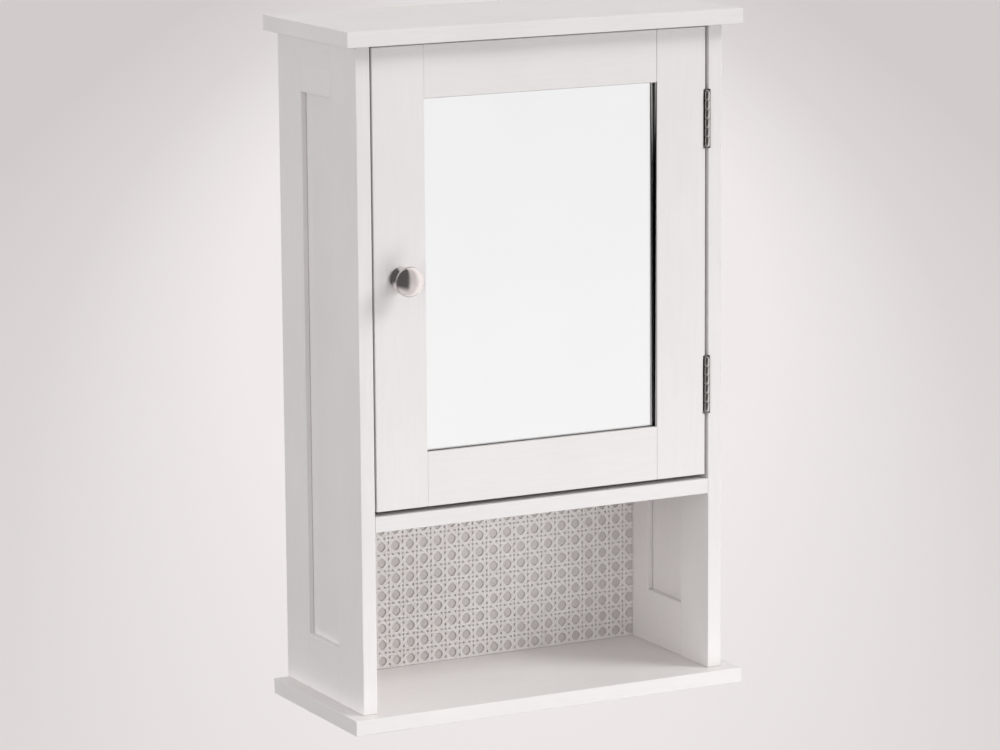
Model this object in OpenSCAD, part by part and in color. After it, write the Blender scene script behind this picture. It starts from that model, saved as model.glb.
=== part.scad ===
// Hanging wall cabinet: a mirror door on two butt hinges over an open shelf backed with cane webbing.
// Frame: origin midway between the two hanging holes, on the wall plane. +Z is up, the wall is at
// y = 0 and the cabinet stands out towards -Y, so +X is to the right of somebody facing the door.

/* [Cabinet] */
// Width across the top and bottom boards
cabinet_w = 340; // [320:2:400]
// Depth from the wall to the front of the top and bottom boards
cabinet_d = 150; // [144:1:180]
// Height from the underside to the top
cabinet_h = 538; // [520:1:640]
// Thickness of the top, bottom, side, shelf and rail boards
board_t = 12; // [12:1:15]
// How far the top and bottom boards stand out past the sides and the front
overhang = 12; // [8:1:16]
// Height of the space behind the door
compartment_h = 360; // [340:1:400]
// Height from the hanging holes to the top
hang_drop = 40; // [36:1:44]

/* [Side frames] */
// Width of the front stiles in the sides
side_stile_w = 43.5; // [40:0.5:46]
// Width of the rear stiles in the sides
side_rear_stile_w = 41.5; // [40:0.5:46]
// Height of the top and bottom rails in the sides
side_rail_h = 44; // [40:0.5:50]
// Thickness of the inset panels and of the back panel
panel_t = 3; // [2.5:0.5:4]
// Depth of the grooves that hold the panels and the rail tongues
groove_d = 5; // [4:0.5:5]

/* [Door] */
// Gap over the door
gap_top = 2; // [1.5:0.1:3]
// Gap under the door
gap_bottom = 3.7; // [2:0.1:4]
// Gap on the knob side
gap_left = 1.7; // [1.5:0.1:3]
// Gap on the hinge side, where both hinge leaves lie
gap_right = 2.9; // [2.9:0.1:4.5]
// Width of the door's stiles
door_stile_w = 43.2; // [40:0.1:50]
// Height of the door's top rail
door_top_rail_h = 41; // [40:0.5:50]
// Height of the door's bottom rail
door_bottom_rail_h = 42.5; // [40:0.5:50]
// Thickness of the lip in front of the mirror
mirror_lip = 4; // [3:0.5:4.5]
// Thickness of the mirror glass
mirror_t = 3; // [3:0.5:3.5]

/* [Knob] */
// Diameter of the knob's head
knob_d = 23.4; // [20:0.2:28]
// Diameter of the knob's foot
knob_foot_d = 19; // [14:0.5:20]
// How far the knob stands out from the door
knob_out = 22; // [20:0.5:26]
// Height of the knob over the middle of the door
knob_rise = 1; // [-60:1:60]

/* [Hinges] */
// Length of a hinge
hinge_len = 43; // [38:1:50]
// Number of knuckles, shared evenly by the two leaves
knuckles = 6; // [4:2:6]
// Outside radius of the barrel
barrel_r = 2.1; // [2:0.05:2.2]
// Radius of the hinge pin
pin_r = 1; // [0.9:0.05:1.1]
// Thickness of a leaf
leaf_t = 1; // [0.8:0.1:1.2]
// From the door's ends to the middle of each hinge
hinge_inset = 72; // [60:1:90]

/* [Hidden] */
$fn = 64;

paint = "WhiteSmoke";
raw_wood = "BurlyWood";
zinc = "Silver";
steel = "DimGray";

// Clearance between a fastener and its hole
fit = 0.05;
// A cut runs this far past the face it opens
past = 1;

// Levels of the carcass
z_top = hang_drop;
z_bottom = z_top - cabinet_h;
z_ceiling = z_top - board_t;
z_floor = z_bottom + board_t;
z_shelf_top = z_ceiling - compartment_h;
z_shelf_bottom = z_shelf_top - board_t;
z_shelf_mid = z_shelf_top - board_t / 2;
x_board = cabinet_w / 2;
x_out = x_board - overhang;
x_in = x_out - board_t;
x_mid = x_in + board_t / 2;
y_front = -(cabinet_d - overhang);
y_rail = -board_t;
y_back = y_rail - panel_t;
y_front_stile = y_front + side_stile_w;
y_rear_stile = -side_rear_stile_w;
// The inset panels lie midway in the thickness of the side frames
x_groove = x_in + (board_t - panel_t) / 2;
z_side_top = z_ceiling - side_rail_h;
z_side_bottom = z_floor + side_rail_h;
// A panel stops this far short of the bottom of its groove
panel_play = 0.5;

// Countersunk screws, as [length, shank radius, head radius]
bottom_screw = [35, 2, 4];
hanger_screw = [10, 1.5, 2.8];
side_leaf_screw = [10, 1.25, 2.4];
door_leaf_screw = [12, 1.25, 2.4];
catch_screw = [9, 1.25, 2.4];
strike_screw = [9, 1.25, 2.2];
// Pan-head screw, as [length, shank radius, head radius, head height]
clip_screw = [9.5, 1.25, 2.6, 1.3];

// Cam and dowel joints
cam_r = 6;
cam_depth = 9.5;
cam_reach = 24;
bolt_r = 2.5;
bolt_depth = 8;
bolt_neck_r = 1.6;
bolt_head_r = 3;
bolt_head_l = 2.5;
bolt_axis = board_t / 2;
dowel_r = 3;
dowel_short = 8;
dowel_long = 17;
cam_ys = [y_front + 28, -30];
top_dowel_ys = [y_front + 10, -8];
shelf_dowel_y = y_front + 10;
rail_dowel_drops = [25, 41];
bottom_screw_ys = [y_front + 22, -22];
top_rail_h = 50;
bottom_rail_h = 40;

// Adjustable shelf, on pins in the middle of three rows of holes
pin_hole_r = 2.5;
pin_hole_depth = 8;
pin_out = 8;
pin_collar_r = 3.5;
pin_collar_t = 1.5;
pin_ys = [y_front + 34, -30];
pin_rows = 3;
pin_pitch = 32;
z_pin_mid = z_ceiling - compartment_h / 2;
inner_shelf_gap = 2;
inner_shelf_front = y_front + 23;

// Hanging plates with keyholes
hanger_x = 120;
hanger_w = 18;
hanger_t = 1.2;
hanger_up = 25;
hanger_down = 16;
keyhole_r = 4.5;
keyhole_slot_r = 2.25;
keyhole_rise = 9;
keyhole_pocket_r = 6.5;
keyhole_pocket_depth = 10;
hanger_screw_zs = [19.5, -10.5];

// Cane webbing
cane_t = 1.2;

// Magnetic catch under the top board
catch_x = -72;
catch_block_w = 28;
catch_ear_w = 9;
catch_ear_t = 3;
catch_h = 13;
catch_d = 14;
pole_t = 1.2;
pole_w = 26;
magnet_t = 4.6;
magnet_w = 22;
magnet_d = 9;
pole_d = 11;
pole_out = 0.9;
pole_gap = 0.3;
strike_t = 1;
strike_w = 34;
strike_h = 10;
strike_screw_x = 13;

// Door
door_t = board_t;
y_door_back = y_front + door_t;
door_l = -x_in + gap_left;
door_r = x_in - gap_right;
door_top = z_ceiling - gap_top;
door_bottom = z_shelf_top + gap_bottom;
sight_l = door_l + door_stile_w;
sight_r = door_r - door_stile_w;
sight_top = door_top - door_top_rail_h;
sight_bottom = door_bottom + door_bottom_rail_h;
rebate_w = 8;
mirror_play = 0.5;
y_glass = y_front + mirror_lip;
y_foam = y_glass + mirror_t;
backing_t = panel_t;
y_backing = y_door_back - backing_t;
foam_w = 20;
foam_l = 60;
tenon_l = 8;
tenon_t = 4;
tenon_shoulder = 9;
clip_l = 20;
clip_w = 12;
clip_t = 1;
clip_spread_x = 55;
clip_spread_z = 80;

// Hinges: the pin stands just in front of the gap, and the barrel lies in a hollow of the door's and the
// side's edges, so that the door turns right round to lie against the side's front edge
hinge_gap = 0.3;
pin_set_out = 0.3;
hollow_r = barrel_r + 0.85;
hollow_l = hinge_len + 3;
hinge_x = (door_r + x_in) / 2;
hinge_y = y_front - pin_set_out;
pin_fit = 0.05;
pin_tip = 0.9;
knuckle_l = hinge_len / knuckles;
leaf_back = y_front + 11.5;
hinge_screw_z = 13;
hinge_screw_y = y_front + 6;
upper_hinge_z = door_top - hinge_inset;
lower_hinge_z = door_bottom + hinge_inset;
hinge_zs = [upper_hinge_z, lower_hinge_z];

// Knob
knob_x = door_l + door_stile_w / 2;
knob_z = (door_top + door_bottom) / 2 + knob_rise;
knob_screw_r = 2;
knob_thread_depth = 8;
knob_neck_r = 4.6;
knob_screw_head_r = 3.9;
knob_screw_head_l = 2.2;
washer_r = 5;
washer_t = 0.8;

// ---------------------------------------------------------------- helpers

// Box between two opposite corners
module block(lo, hi) {
    translate(lo) cube(hi - lo);
}

// Round rods that start at a point and run along +X, +Y or +Z
module rod_x(at, len, r) {
    translate(at) rotate([0, 90, 0]) cylinder(h = len, r = r);
}
module rod_y(at, len, r) {
    translate(at) rotate([-90, 0, 0]) cylinder(h = len, r = r);
}
module rod_z(at, len, r) {
    translate(at) cylinder(h = len, r = r);
}

// Both sides of the cabinet: the children are drawn on the right and mirrored to the left
module both_sides() {
    children();
    mirror([1, 0, 0]) children();
}

// Places children that are drawn along +Z so that they run along another direction
module towards_plus_x(at) {
    translate(at) rotate([0, 90, 0]) children();
}
module towards_minus_x(at) {
    translate(at) rotate([0, -90, 0]) children();
}
module towards_minus_y(at) {
    translate(at) rotate([90, 0, 0]) children();
}

// Cross slot for a screwdriver in a face at z = 0, cut towards +Z
module cross_slot(r, depth) {
    for (turn = [0, 90])
        rotate([0, 0, turn]) block([-r, -r * 0.22, -past], [r, r * 0.22, depth]);
}

// Countersunk wood screw: the top of the head is at z = 0 and the tip points along +Z
module screw_body(screw, grow = 0) {
    r = screw[1];
    head_l = screw[2] - r;
    tip_l = 2 * r;
    cylinder(h = head_l, r1 = screw[2] + grow, r2 = r + grow);
    translate([0, 0, head_l - 0.01]) cylinder(h = screw[0] - head_l - tip_l + 0.01, r = r + grow);
    translate([0, 0, screw[0] - tip_l - 0.01])
        cylinder(h = tip_l + 0.01 + grow, r1 = r + grow, r2 = 0.3 + grow);
}
module wood_screw(screw) {
    difference() {
        screw_body(screw);
        cross_slot(screw[2] * 0.55, screw[2] * 0.35);
    }
}
module wood_screw_hole(screw) {
    screw_body(screw, fit);
    translate([0, 0, -past]) cylinder(h = past + 0.01, r = screw[2] + fit);
}

// Pan-head screw: the underside of the head is at z = 0, the head stands out towards -Z
module pan_screw(screw) {
    tip_l = 2 * screw[1];
    difference() {
        union() {
            translate([0, 0, -screw[3]]) cylinder(h = screw[3], r1 = screw[2] * 0.8, r2 = screw[2]);
            translate([0, 0, -0.01]) cylinder(h = screw[0] - tip_l, r = screw[1]);
            translate([0, 0, screw[0] - tip_l - 0.02]) cylinder(h = tip_l, r1 = screw[1], r2 = 0.3);
        }
        translate([0, 0, -screw[3]]) cross_slot(screw[2] * 0.55, screw[3] * 0.5);
    }
}

// Cam joint. The cam lies in a board face at z = 0 and runs along +Z; its bolt runs along +X,
// out of the edge of that board and into its neighbour.
module cam_lock() {
    difference() {
        cylinder(h = cam_depth, r = cam_r - fit);
        translate([-bolt_head_l, 0, bolt_axis]) rotate([0, 90, 0])
            cylinder(h = cam_r + 2 * bolt_head_l, r = bolt_head_r + 0.3);
        cross_slot(cam_r * 0.6, 1.5);
    }
}
module cam_bolt() {
    translate([0, 0, bolt_axis]) rotate([0, 90, 0]) {
        translate([0, 0, -bolt_head_l / 2]) cylinder(h = bolt_head_l, r = bolt_head_r);
        cylinder(h = cam_reach, r = bolt_neck_r);
        translate([0, 0, cam_reach]) cylinder(h = bolt_depth, r = bolt_r);
    }
}
// The hole for the cam and the way through the board's edge for the bolt
module cam_hole() {
    translate([0, 0, -past]) cylinder(h = cam_depth + past, r = cam_r);
    translate([0, 0, bolt_axis]) rotate([0, 90, 0]) cylinder(h = cam_reach + past, r = bolt_head_r + 0.2);
}
// The hole in the neighbour for the bolt's thread
module bolt_hole() {
    translate([cam_reach - past, 0, bolt_axis]) rotate([0, 90, 0])
        cylinder(h = bolt_depth + past, r = bolt_r + fit);
}

// Where the cam joints go: in the tops of the stiles, and under the middle shelf
module at_top_cams() {
    both_sides() for (y = cam_ys)
        translate([x_in, y, z_ceiling - cam_reach]) rotate([180, -90, 0]) children();
}
module at_shelf_cams() {
    both_sides() for (y = cam_ys)
        translate([x_in - cam_reach, y, z_shelf_bottom]) children();
}

// ---------------------------------------------------------------- dowels and screws of the carcass

module top_dowel_rods(grow = 0) {
    both_sides() for (y = top_dowel_ys)
        rod_z([x_mid, y, z_ceiling - dowel_long - grow], dowel_long + dowel_short + 2 * grow, dowel_r + grow);
}
module shelf_dowel_rods(grow = 0) {
    both_sides()
        rod_x([x_in - dowel_long - grow, shelf_dowel_y, z_shelf_mid], dowel_long + dowel_short + 2 * grow,
              dowel_r + grow);
}
module rail_dowel_rods(grow = 0) {
    zs = concat([for (d = rail_dowel_drops) z_ceiling - d], [for (d = rail_dowel_drops) z_floor + d - 14]);
    both_sides() for (z = zs)
        rod_x([x_in - dowel_long - grow, y_rail / 2, z], dowel_long + dowel_short + 2 * grow, dowel_r + grow);
}
module at_bottom_screws() {
    both_sides() for (y = bottom_screw_ys)
        translate([x_mid, y, z_bottom]) children();
}

// ---------------------------------------------------------------- carcass boards

module top_board() {
    color(paint) difference() {
        block([-x_board, -cabinet_d, z_ceiling], [x_board, 0, z_top]);
        block([-x_in - groove_d, y_back, z_ceiling - past], [x_in + groove_d, y_rail, z_ceiling + groove_d]);
        at_top_cams() bolt_hole();
        top_dowel_rods(fit);
        at_catch_screws() wood_screw_hole(catch_screw);
    }
}

module bottom_board() {
    color(paint) difference() {
        block([-x_board, -cabinet_d, z_bottom], [x_board, 0, z_floor]);
        block([-x_in - groove_d, y_back, z_floor - groove_d], [x_in + groove_d, y_rail, z_floor + past]);
        at_bottom_screws() wood_screw_hole(bottom_screw);
    }
}

module middle_shelf() {
    color(paint) difference() {
        block([-x_in, y_front, z_shelf_bottom], [x_in, y_back, z_shelf_top]);
        at_shelf_cams() cam_hole();
        shelf_dowel_rods(fit);
    }
}

module inner_shelf() {
    z = z_pin_mid + pin_hole_r;
    x = x_in - inner_shelf_gap;
    color(paint) block([-x, inner_shelf_front, z], [x, y_back - inner_shelf_gap, z + board_t]);
}

module back_panel() {
    edge = groove_d - panel_play;
    color(paint) block([-x_in - edge, y_back, z_floor - edge], [x_in + edge, y_rail, z_ceiling + edge]);
}

module cane_webbing() {
    color("Linen") block([-x_in, y_back - cane_t, z_floor], [x_in, y_back, z_shelf_bottom]);
}

module top_hanging_rail() {
    color(raw_wood) difference() {
        block([-x_in, y_rail, z_ceiling - top_rail_h], [x_in, 0, z_ceiling]);
        at_hangers() {
            hanger_outline(fit, hanger_t);
            keyhole_shape(keyhole_pocket_r, keyhole_pocket_r, keyhole_pocket_depth);
            at_hanger_screws() wood_screw_hole(hanger_screw);
        }
        rail_dowel_rods(fit);
    }
}

module bottom_back_rail() {
    color(raw_wood) difference() {
        block([-x_in, y_rail, z_floor], [x_in, 0, z_floor + bottom_rail_h]);
        rail_dowel_rods(fit);
    }
}

// ---------------------------------------------------------------- side frames, drawn on the right

module side_front_stile() {
    color(paint) difference() {
        block([x_in, y_front, z_floor], [x_out, y_front_stile, z_ceiling]);
        block([x_groove, y_front_stile - groove_d, z_floor - past],
              [x_groove + panel_t, y_front_stile + past, z_ceiling + past]);
        side_holes();
    }
}

module side_rear_stile() {
    color(paint) difference() {
        block([x_in, y_rear_stile, z_floor], [x_out, 0, z_ceiling]);
        block([x_groove, y_rear_stile - past, z_floor - past],
              [x_groove + panel_t, y_rear_stile + groove_d, z_ceiling + past]);
        block([x_in - past, y_back, z_floor - past], [x_in + groove_d, y_rail, z_ceiling + past]);
        side_holes();
        rail_dowel_rods(fit);
    }
}

// Everything that is drilled in the stiles alike: joints, shelf pins and the bottom screws
module side_holes() {
    at_top_cams() cam_hole();
    at_shelf_cams() bolt_hole();
    top_dowel_rods(fit);
    shelf_dowel_rods(fit);
    at_bottom_screws() wood_screw_hole(bottom_screw);
    both_sides() for (y = pin_ys, row = [-1:pin_rows - 2])
        rod_x([x_in - past, y, z_pin_mid + row * pin_pitch], pin_hole_depth + past, pin_hole_r + fit);
}

// A rail with a tongue at each end, and a groove for the panel that starts at z_groove
module side_rail(z_low, z_high, z_groove) {
    color(paint) difference() {
        union() {
            block([x_in, y_front_stile, z_low], [x_out, y_rear_stile, z_high]);
            block([x_groove, y_front_stile - groove_d, z_low],
                  [x_groove + panel_t, y_rear_stile + groove_d, z_high]);
        }
        block([x_groove, y_front_stile - groove_d - past, z_groove],
              [x_groove + panel_t, y_rear_stile + groove_d + past, z_groove + groove_d + past]);
    }
}

module side_panel() {
    edge = groove_d - panel_play;
    color(paint) block([x_groove, y_front_stile - edge, z_side_bottom - edge],
                       [x_groove + panel_t, y_rear_stile + edge, z_side_top + edge]);
}

module right_side_front_stile() {
    difference() {
        side_front_stile();
        color(paint) at_hinges() {
            at_side_leaf_screws() wood_screw_hole(side_leaf_screw);
            rod_z([0, 0, -hollow_l / 2], hollow_l, hollow_r);
        }
    }
}
module right_side_rear_stile() side_rear_stile();
module right_side_top_rail() side_rail(z_side_top, z_ceiling, z_side_top - past);
module right_side_bottom_rail() side_rail(z_floor, z_side_bottom, z_side_bottom - groove_d);
module right_side_panel() side_panel();

module left_side_front_stile() mirror([1, 0, 0]) side_front_stile();
module left_side_rear_stile() mirror([1, 0, 0]) side_rear_stile();
module left_side_top_rail() mirror([1, 0, 0]) right_side_top_rail();
module left_side_bottom_rail() mirror([1, 0, 0]) right_side_bottom_rail();
module left_side_panel() mirror([1, 0, 0]) side_panel();

// ---------------------------------------------------------------- hanging plates

module at_hangers() {
    for (x = [-hanger_x, hanger_x]) translate([x, 0, 0]) children();
}
module at_hanger_screws() {
    for (z = hanger_screw_zs) towards_minus_y([0, 0, z]) children();
}
// Round-ended outline of a plate, from a depth in the rail to past the wall face
module hanger_outline(grow, depth) {
    r = hanger_w / 2 + grow;
    low = hanger_w / 2 - hanger_down;
    high = hanger_up - hanger_w / 2;
    rod_y([0, -depth, low], depth + past, r);
    rod_y([0, -depth, high], depth + past, r);
    block([-r, -depth, low], [r, past, high]);
}
// Round entry with a slot that rises from it
module keyhole_shape(entry_r, slot_r, depth) {
    rod_y([0, -depth, 0], depth + past, entry_r);
    rod_y([0, -depth, keyhole_rise], depth + past, slot_r);
    block([-slot_r, -depth, 0], [slot_r, past, keyhole_rise]);
}
module hanger_plate() {
    color(zinc) difference() {
        intersection() {
            hanger_outline(0, hanger_t);
            block([-hanger_w, -hanger_t, -cabinet_h], [hanger_w, 0, cabinet_h]);
        }
        keyhole_shape(keyhole_r, keyhole_slot_r, hanger_t + past);
        at_hanger_screws() wood_screw_hole(hanger_screw);
    }
}
module right_hanger_plate() translate([hanger_x, 0, 0]) hanger_plate();
module left_hanger_plate() translate([-hanger_x, 0, 0]) hanger_plate();
module hanger_screws() {
    color(steel) at_hangers() at_hanger_screws() wood_screw(hanger_screw);
}

// ---------------------------------------------------------------- joint hardware

module top_cam_locks() color(zinc) at_top_cams() cam_lock();
module top_cam_bolts() color(steel) at_top_cams() cam_bolt();
module top_dowels() color(raw_wood) top_dowel_rods();
module shelf_cam_locks() color(zinc) at_shelf_cams() cam_lock();
module shelf_cam_bolts() color(steel) at_shelf_cams() cam_bolt();
module shelf_dowels() color(raw_wood) shelf_dowel_rods();
module rail_dowels() color(raw_wood) rail_dowel_rods();
module bottom_screws() color(steel) at_bottom_screws() wood_screw(bottom_screw);

// Shelf pins: a shank in the hole, a collar against the stile and a peg under the shelf
module shelf_pins() {
    color(zinc) both_sides() for (y = pin_ys) {
        rod_x([x_in - pin_out, y, z_pin_mid], pin_out + pin_hole_depth - 0.5, pin_hole_r);
        rod_x([x_in - pin_collar_t, y, z_pin_mid], pin_collar_t, pin_collar_r);
    }
}

// ---------------------------------------------------------------- magnetic catch

// The poles face the strike plate with a hair of air between them
y_pole = y_door_back + strike_t + pole_gap;
y_catch = y_pole + pole_out;
z_pole = z_ceiling - catch_ear_t;
stack_t = 2 * pole_t + magnet_t;
z_strike = door_top - 0.5 - strike_h / 2;

module at_catch_screws() {
    spread = (catch_block_w + catch_ear_w) / 2;
    for (x = [-1, 1])
        translate([catch_x + x * spread, y_catch + catch_d / 2, z_ceiling - catch_ear_t]) children();
}
module catch_housing() {
    ear_x = catch_block_w / 2 + catch_ear_w;
    pocket_x = pole_w / 2 + 0.1;
    color("White") difference() {
        union() {
            block([catch_x - catch_block_w / 2, y_catch, z_ceiling - catch_h],
                  [catch_x + catch_block_w / 2, y_catch + catch_d, z_ceiling]);
            block([catch_x - ear_x, y_catch + 2, z_ceiling - catch_ear_t],
                  [catch_x + ear_x, y_catch + catch_d - 2, z_ceiling]);
        }
        block([catch_x - pocket_x, y_catch - past, z_pole - stack_t - 0.1],
              [catch_x + pocket_x, y_pole + pole_d + 0.1, z_pole + 0.1]);
        at_catch_screws() wood_screw_hole(catch_screw);
    }
}
module catch_magnet() {
    color("Black") block([catch_x - magnet_w / 2, y_pole + 1, z_pole - pole_t - magnet_t],
                         [catch_x + magnet_w / 2, y_pole + 1 + magnet_d, z_pole - pole_t]);
}
module catch_poles() {
    color(steel) for (z = [z_pole - pole_t, z_pole - stack_t])
        block([catch_x - pole_w / 2, y_pole, z], [catch_x + pole_w / 2, y_pole + pole_d, z + pole_t]);
}
module catch_screws() color(steel) at_catch_screws() wood_screw(catch_screw);

module at_strike_screws() {
    for (x = [-1, 1])
        towards_minus_y([catch_x + x * strike_screw_x, y_door_back + strike_t, z_strike]) children();
}
module strike_plate() {
    color(zinc) difference() {
        block([catch_x - strike_w / 2, y_door_back, z_strike - strike_h / 2],
              [catch_x + strike_w / 2, y_door_back + strike_t, z_strike + strike_h / 2]);
        at_strike_screws() wood_screw_hole(strike_screw);
    }
}
module strike_screws() color(steel) at_strike_screws() wood_screw(strike_screw);

// ---------------------------------------------------------------- door

// The rebate behind the sight opening, which holds the mirror, its tape and its backing
module mirror_rebate() {
    block([sight_l - rebate_w, y_glass, sight_bottom - rebate_w], [sight_r + rebate_w, y_door_back + past,
          sight_top + rebate_w]);
}
// The tenon of a rail, from one stile to the other
module tenon_bar(z_low, z_high, play = 0) {
    y = y_front + (door_t - tenon_t) / 2;
    block([sight_l - tenon_l - play, y, z_low + tenon_shoulder], [sight_r + tenon_l + play, y + tenon_t,
          z_high - tenon_shoulder]);
}
module door_tenons(play = 0) {
    tenon_bar(sight_top, door_top, play);
    tenon_bar(door_bottom, sight_bottom, play);
}

module door_left_stile() {
    color(paint) difference() {
        block([door_l, y_front, door_bottom], [sight_l, y_door_back, door_top]);
        mirror_rebate();
        door_tenons(0.2);
        at_backing_screws() cylinder(h = clip_screw[0], r = clip_screw[1] + fit);
        rod_y([knob_x, y_front - past, knob_z], door_t + 2 * past, knob_screw_r + 0.2);
    }
}

module door_right_stile() {
    color(paint) difference() {
        block([sight_r, y_front, door_bottom], [door_r, y_door_back, door_top]);
        mirror_rebate();
        door_tenons(0.2);
        at_backing_screws() cylinder(h = clip_screw[0], r = clip_screw[1] + fit);
        at_hinges() {
            at_door_leaf_screws() wood_screw_hole(door_leaf_screw);
            rod_z([0, 0, -hollow_l / 2], hollow_l, hollow_r);
        }
    }
}

module door_rail(z_low, z_high) {
    color(paint) difference() {
        union() {
            block([sight_l, y_front, z_low], [sight_r, y_door_back, z_high]);
            tenon_bar(z_low, z_high);
        }
        mirror_rebate();
        at_backing_screws() cylinder(h = clip_screw[0], r = clip_screw[1] + fit);
        at_strike_screws() wood_screw_hole(strike_screw);
    }
}
module door_top_rail() door_rail(sight_top, door_top);
module door_bottom_rail() door_rail(door_bottom, sight_bottom);

// A sheet that fills the rebate between two depths
module rebate_sheet(y_low, y_high) {
    edge = rebate_w - mirror_play;
    block([sight_l - edge, y_low, sight_bottom - edge], [sight_r + edge, y_high, sight_top + edge]);
}
module mirror_glass() color("LightCyan") rebate_sheet(y_glass, y_foam);
module mirror_backing() color(raw_wood) rebate_sheet(y_backing, y_door_back);
// Four strips of foam tape between the glass and the backing
module mirror_foam_tape() {
    color("Gainsboro") for (x = [sight_l + foam_w, sight_r - foam_w])
        for (z = [sight_bottom + foam_w, sight_top - foam_w - foam_l])
            block([x - foam_w / 2, y_foam, z], [x + foam_w / 2, y_backing, z + foam_l]);
}

// Clips along the back of the door: each reaches from the frame onto the backing. The children are
// drawn with their origin over the edge of the rebate, +X towards the middle of the door and
// +Z into the door.
module at_clips() {
    mid = [(sight_l + sight_r) / 2, (sight_top + sight_bottom) / 2];
    half = [(sight_r - sight_l) / 2 + rebate_w, (sight_top - sight_bottom) / 2 + rebate_w];
    for (side = [-1, 1], along = [-1, 1]) {
        translate([mid[0] + side * half[0], y_door_back, mid[1] + along * clip_spread_z])
            rotate([90, side < 0 ? 0 : 180, 0]) children();
        translate([mid[0] + along * clip_spread_x, y_door_back, mid[1] + side * half[1]])
            rotate([90, side < 0 ? -90 : 90, 0]) children();
    }
}
module at_backing_screws() at_clips() translate([-clip_l / 4, 0, 0]) children();
module backing_clips() {
    color(zinc) at_clips() difference() {
        block([-clip_l / 2, -clip_w / 2, -clip_t], [clip_l / 2, clip_w / 2, 0]);
        translate([-clip_l / 4, 0, -clip_t - past])
            cylinder(h = clip_t + 2 * past, r = clip_screw[1] + 2 * fit);
    }
}
module backing_screws() {
    color(steel) at_backing_screws() translate([0, 0, -clip_t]) pan_screw(clip_screw);
}

// ---------------------------------------------------------------- knob

// Turned profile, as [radius, distance out from the door]: foot, waist, underside of the head, dome
function arc_points(cx, cy, rx, ry, from, to, steps) =
    [for (i = [0:steps]) let (a = from + (to - from) * i / steps) [cx + rx * cos(a), cy + ry * sin(a)]];
head_r = knob_d / 2;
foot_r = knob_foot_d / 2;
rim_out = knob_out * 0.74;
rim_r = 1.4;
knob_profile = concat(
    [[0, 0], [foot_r, 0]],
    arc_points(foot_r - 0.9, 1.0, 0.9, 0.9, 0, 70, 4),
    arc_points(foot_r, rim_out * 0.52, foot_r - knob_neck_r, rim_out * 0.42, 250, 110, 10),
    arc_points(head_r - rim_r, rim_out, rim_r, rim_r, -60, 30, 6),
    arc_points(0, rim_out + rim_r * 0.5, head_r - rim_r * 0.14, knob_out - rim_out - rim_r * 0.5, 8, 90, 12)
);

module knob() {
    color(zinc) difference() {
        towards_minus_y([knob_x, y_front, knob_z]) rotate_extrude() polygon(knob_profile);
        rod_y([knob_x, y_front - knob_thread_depth - 1, knob_z], knob_thread_depth + 1 + past,
              knob_screw_r + fit);
    }
}
module knob_screw() {
    color(steel) difference() {
        union() {
            rod_y([knob_x, y_front - knob_thread_depth, knob_z], knob_thread_depth + door_t + washer_t,
                  knob_screw_r);
            rod_y([knob_x, y_door_back + washer_t, knob_z], knob_screw_head_l, knob_screw_head_r);
        }
        towards_minus_y([knob_x, y_door_back + washer_t + knob_screw_head_l, knob_z]) cross_slot(2.2, 1.2);
    }
}
module knob_washer() {
    color(zinc) difference() {
        rod_y([knob_x, y_door_back, knob_z], washer_t, washer_r);
        rod_y([knob_x, y_door_back - past, knob_z], washer_t + 2 * past, knob_screw_r + 0.2);
    }
}

// ---------------------------------------------------------------- hinges

// The children are drawn about the middle of a hinge pin
module at_hinges() {
    for (z = hinge_zs) translate([hinge_x, hinge_y, z]) children();
}
module at_side_leaf_screws() {
    for (z = [-hinge_screw_z, hinge_screw_z])
        towards_plus_x([x_in - leaf_t - hinge_x, hinge_screw_y - hinge_y, z]) children();
}
module at_door_leaf_screws() {
    for (z = [-hinge_screw_z, hinge_screw_z])
        towards_minus_x([door_r + leaf_t - hinge_x, hinge_screw_y - hinge_y, z]) children();
}

// A leaf about the pin: a flat plate between x_low and x_high, with every second knuckle. The plate
// starts clear of the other leaf's knuckles
module hinge_leaf(x_low, x_high, first) {
    plate_start = barrel_r + 0.4;
    difference() {
        union() {
            block([x_low, plate_start, -hinge_len / 2], [x_high, leaf_back - hinge_y, hinge_len / 2]);
            for (i = [first:2:knuckles - 1]) {
                z = -hinge_len / 2 + i * knuckle_l + hinge_gap / 2;
                rod_z([0, 0, z], knuckle_l - hinge_gap, barrel_r);
                block([x_low, 0, z], [x_high, plate_start + 0.1, z + knuckle_l - hinge_gap]);
            }
        }
        rod_z([0, 0, -hinge_len], 2 * hinge_len, pin_r + pin_fit);
        at_side_leaf_screws() wood_screw_hole(side_leaf_screw);
        at_door_leaf_screws() wood_screw_hole(door_leaf_screw);
    }
}
module side_leaf() color(zinc) hinge_leaf(x_in - leaf_t - hinge_x, x_in - hinge_x, 0);
module door_leaf() color(zinc) hinge_leaf(door_r - hinge_x, door_r + leaf_t - hinge_x, 1);
// A pin with a domed head at each end
module hinge_pin() {
    half = (hinge_len + hinge_gap) / 2;
    color(zinc) {
        rod_z([0, 0, -half], 2 * half, pin_r);
        for (end = [0, 1]) mirror([0, 0, end]) translate([0, 0, half]) intersection() {
            translate([0, 0, pin_tip - barrel_r]) sphere(r = barrel_r);
            cylinder(h = barrel_r, r = barrel_r);
        }
    }
}
module at_hinge(z) translate([hinge_x, hinge_y, z]) children();
module upper_hinge_side_leaf() at_hinge(upper_hinge_z) side_leaf();
module upper_hinge_door_leaf() at_hinge(upper_hinge_z) door_leaf();
module upper_hinge_pin() at_hinge(upper_hinge_z) hinge_pin();
module lower_hinge_side_leaf() at_hinge(lower_hinge_z) side_leaf();
module lower_hinge_door_leaf() at_hinge(lower_hinge_z) door_leaf();
module lower_hinge_pin() at_hinge(lower_hinge_z) hinge_pin();
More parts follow.
